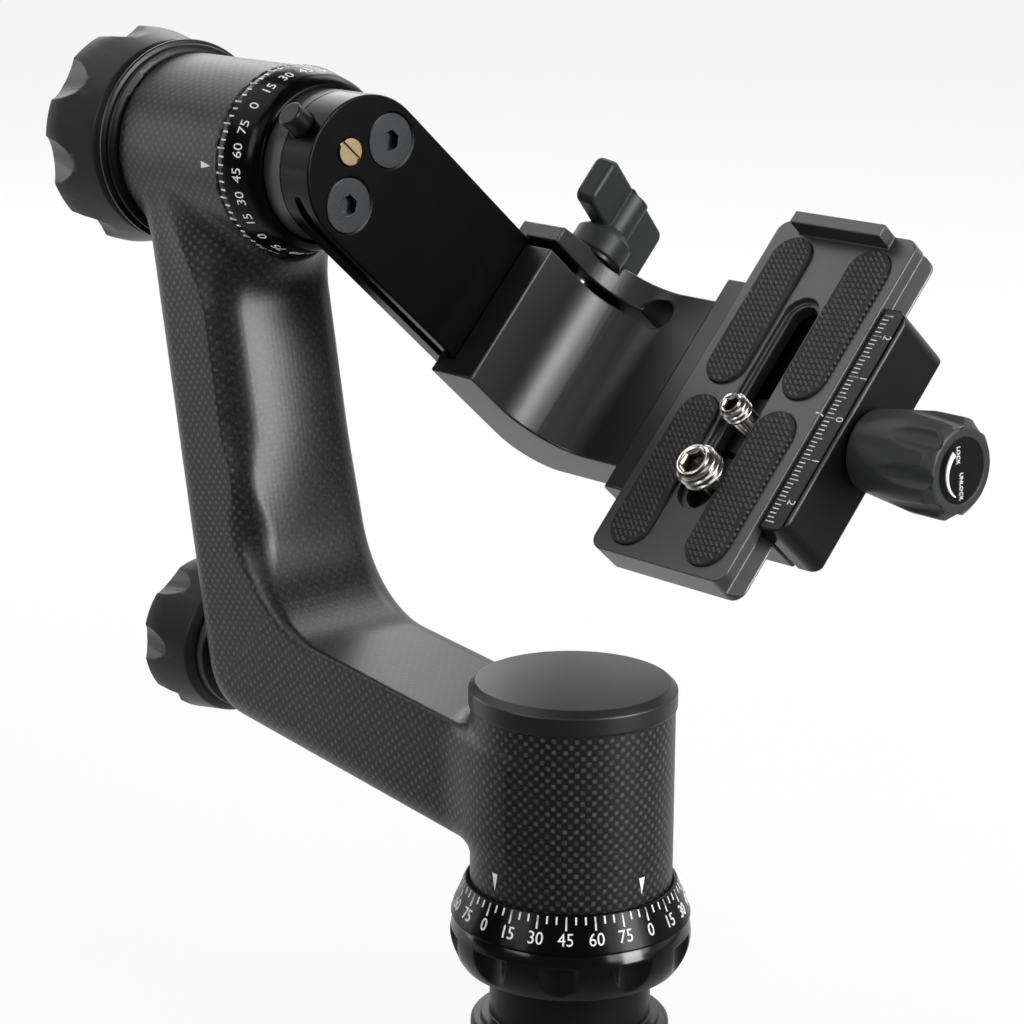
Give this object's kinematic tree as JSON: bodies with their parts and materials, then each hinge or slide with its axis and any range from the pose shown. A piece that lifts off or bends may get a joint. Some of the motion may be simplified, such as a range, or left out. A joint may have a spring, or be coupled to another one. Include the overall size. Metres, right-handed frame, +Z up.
{
  "type": "gimbal tripod head",
  "caption": "Gimbal tripod head: J-shaped carbon arm on a panning base, swinging cradle with height slide, quick-release clamp and plate.",
  "frame": {"origin": "centre of the base's lower face, at the mouth of the tripod thread", "axes": "+Z up the pan axis; X parallel to the tilt axis with the arm on -X; the swing at rest leans towards +Y"},
  "size_m": [0.2019, 0.1079, 0.1954],
  "materials": {
    "black_anodised": "satin black hard anodised",
    "black_cradle": "brushed black anodised",
    "carbon": "woven carbon fibre under a satin clear coat",
    "grip": "soft-touch, dark grey",
    "pad": "woven-texture rubber with a stitched edge",
    "steel": "ground",
    "screw_steel": "satin nickel plated",
    "black_steel": "black oxide",
    "brass": "satin",
    "nylon": "natural",
    "printed_disc": "black with white marks",
    "silver": "satin silver anodised"
  },
  "bodies": {
    "base": {"base_plate": "black_anodised", "base_screws": "black_steel", "grip_ring": "black_anodised", "pan_scale_ring": "black_anodised", "scale_ring_screws": "black_steel", "pan_spindle": "steel", "pan_bearing_inner_races": "steel", "pan_lock_nut": "steel"},
    "arm": {"carbon_arm": "carbon", "column_sleeve": "black_anodised", "column_cap": "black_anodised", "pan_bearing_outer_races": "steel", "pan_bearing_balls": "steel", "hub_sleeve": "black_anodised", "tilt_bearing_outer_races": "steel", "tilt_bearing_balls": "steel", "tilt_collar": "black_anodised", "pan_lock_bush": "black_anodised"},
    "pan_brake": {"brake_shoe": "brass", "brake_push_rod": "steel"},
    "pan_lock_knob": {"pan_knob": "grip", "pan_knob_core": "silver"},
    "tilt_clamp": {"tilt_thrust_washer": "nylon"},
    "tilt_lock_knob": {"tilt_knob": "grip", "tilt_knob_core": "silver"},
    "swing": {"tilt_spindle": "black_anodised", "tilt_bearing_inner_races": "steel", "tilt_scale_ring": "black_anodised", "stop_pin": "black_steel", "swing_plate": "black_anodised", "swing_screws": "screw_steel", "brass_screw": "brass"},
    "cradle": {"cradle_arm": "black_cradle", "clamp_stud": "steel", "jaw_guide_pins": "steel"},
    "lever_clamp": {"lever_washer": "black_steel"},
    "lever": {"wing_lever": "black_anodised", "wing_stud": "steel"},
    "jaw": {"clamp_jaw": "black_anodised"},
    "clamp_knob_turn": {"clamp_knob": "grip", "clamp_knob_disc": "printed_disc"},
    "plate": {"quick_release_plate": "black_anodised", "plate_pads": "pad", "safety_screws": "black_steel"},
    "large_carrier": {"large_screw_washer": "nylon"},
    "large_screw": {"camera_screw_large": "screw_steel"},
    "small_carrier": {"small_screw_washer": "nylon"},
    "small_screw": {"camera_screw_small": "screw_steel"}
  },
  "joints": [
    {"name": "pan", "type": "hinge", "parent": "base", "child": "arm", "pos_m": [0, 0, 0], "axis": [0, 0, 1], "continuous": true},
    {"name": "pan_brake_travel", "type": "slide", "parent": "arm", "child": "pan_brake", "axis": [-1, 0, 0], "range_m": [0, 0.00187]},
    {"name": "pan_knob_spin", "type": "hinge", "parent": "pan_brake", "child": "pan_lock_knob", "pos_m": [-0.11, 0, 0.0586], "axis": [-1, 0, 0], "range_deg": [0, 540]},
    {"name": "tilt_clamp_travel", "type": "slide", "parent": "arm", "child": "tilt_clamp", "axis": [-1, 0, 0], "range_m": [0, 0.0025]},
    {"name": "tilt_knob_spin", "type": "hinge", "parent": "tilt_clamp", "child": "tilt_lock_knob", "pos_m": [0, 0, 0.1711], "axis": [-1, 0, 0], "range_deg": [0, 720]},
    {"name": "tilt", "type": "hinge", "parent": "arm", "child": "swing", "pos_m": [0, 0, 0.1711], "axis": [1, 0, 0], "continuous": true},
    {"name": "cradle_slide", "type": "slide", "parent": "swing", "child": "cradle", "axis": [0, 0.7443, -0.6678], "range_m": [-0.02, 0.005]},
    {"name": "lever_clamp_travel", "type": "slide", "parent": "cradle", "child": "lever_clamp", "axis": [0, 0.6678, 0.7443], "range_m": [0, 0.0006]},
    {"name": "lever_spin", "type": "hinge", "parent": "lever_clamp", "child": "lever", "pos_m": [-0.0601, 0.06188, 0.14917], "axis": [0, 0.6678, 0.7443], "range_deg": [0, 270]},
    {"name": "jaw_travel", "type": "slide", "parent": "cradle", "child": "jaw", "axis": [1, 0, 0], "range_m": [0, 0.00313]},
    {"name": "clamp_knob_spin", "type": "hinge", "parent": "jaw", "child": "clamp_knob_turn", "pos_m": [0.03, 0.05731, 0.11968], "axis": [1, 0, 0], "range_deg": [0, 900]},
    {"name": "plate_slide", "type": "slide", "parent": "cradle", "child": "plate", "axis": [0, 0.6678, 0.7443], "range_m": [-0.007, 0.007]},
    {"name": "large_screw_slide", "type": "slide", "parent": "plate", "child": "large_carrier", "axis": [0, 0.6678, 0.7443], "range_m": [-0.0034, 0.0003]},
    {"name": "large_screw_spin", "type": "hinge", "parent": "large_carrier", "child": "large_screw", "pos_m": [-0.00015, 0.03941, 0.11021], "axis": [0, -0.7443, 0.6678], "continuous": true},
    {"name": "small_screw_slide", "type": "slide", "parent": "plate", "child": "small_carrier", "axis": [0, 0.6678, 0.7443], "range_m": [-0.0003, 0.024]},
    {"name": "small_screw_spin", "type": "hinge", "parent": "small_carrier", "child": "small_screw", "pos_m": [-0.00015, 0.0493, 0.12123], "axis": [0, -0.7443, 0.6678], "continuous": true}
  ],
  "couplings": [
    {"joint": "pan_knob_spin", "follows": "pan_brake_travel", "rad_per_m": 5026.5},
    {"joint": "tilt_knob_spin", "follows": "tilt_clamp_travel", "rad_per_m": 5026.5},
    {"joint": "lever_spin", "follows": "lever_clamp_travel", "rad_per_m": 7854},
    {"joint": "clamp_knob_spin", "follows": "jaw_travel", "rad_per_m": 5026.5}
  ]
}
